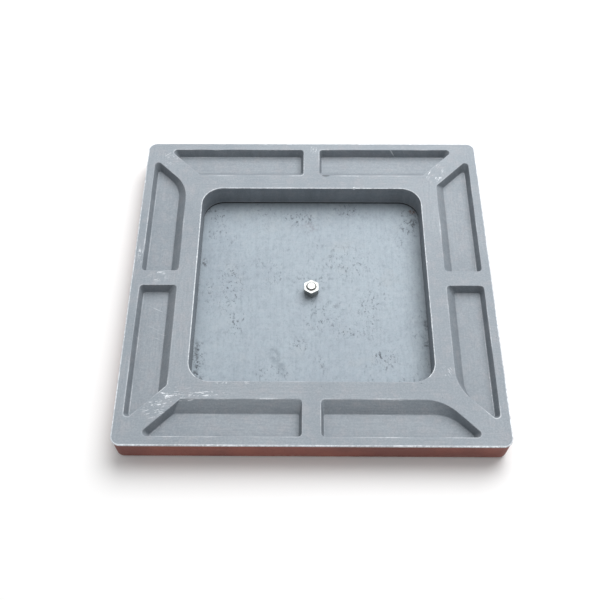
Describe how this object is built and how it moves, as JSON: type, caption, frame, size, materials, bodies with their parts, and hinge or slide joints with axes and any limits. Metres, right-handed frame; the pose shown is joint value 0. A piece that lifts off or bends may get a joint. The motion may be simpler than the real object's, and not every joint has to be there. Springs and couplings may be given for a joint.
{
  "type": "square composite manhole cover",
  "caption": "Square moulded composite manhole cover ring, laid underside up, with lightening pockets and a bolted steel tread plate seated on a seal in its opening.",
  "frame": {"origin": "middle of the street face, which lies downwards on the ground (z = 0), centre of the square", "axes": "+Z points out of the underside (the bedding face), which is upwards as the cover lies here; X and Y run along the sides of the square; in use the part is turned over"},
  "size_m": [0.6, 0.6, 0.05],
  "materials": {
    "ring_composite": "grey mineral-filled resin composite, moulded, faint streaks and scuffed arrises",
    "facing_composite": "red-brown pigmented resin composite, matt",
    "bar_steel": "plain hot-rolled steel bar with mill scale",
    "seal_rubber": "black solid EPDM strip",
    "plate_galvanised": "hot-dip galvanised steel, dull blue-grey, specked and smudged",
    "fastener_zinc": "bright zinc plated steel",
    "washer_zinc": "zinc plated spring steel"
  },
  "bodies": {
    "cover": {"cover_plate": "plate_galvanised", "centre_bolt": "fastener_zinc"},
    "frame": {"frame_body": "ring_composite", "frame_facing": "facing_composite", "inner_hoop_bar": "bar_steel", "outer_hoop_bar": "bar_steel", "seat_seal": "seal_rubber"},
    "washer": {"spring_washer": "washer_zinc"},
    "nut": {"centre_nut": "fastener_zinc"}
  },
  "joints": [
    {"name": "frame_lift", "type": "slide", "parent": "cover", "child": "frame", "axis": [0, 0, 1], "range_m": [0, 0.12]},
    {"name": "nut_turn", "type": "hinge", "parent": "cover", "child": "washer", "pos_m": [0, 0, 0.0075], "axis": [0, 0, 1], "range_deg": [0, 2880]},
    {"name": "nut_rise", "type": "slide", "parent": "washer", "child": "nut", "axis": [0, 0, 1], "range_m": [0, 0.016]}
  ],
  "couplings": [
    {"joint": "nut_rise", "follows": "nut_turn", "m_per_rad": 0.0003183}
  ]
}
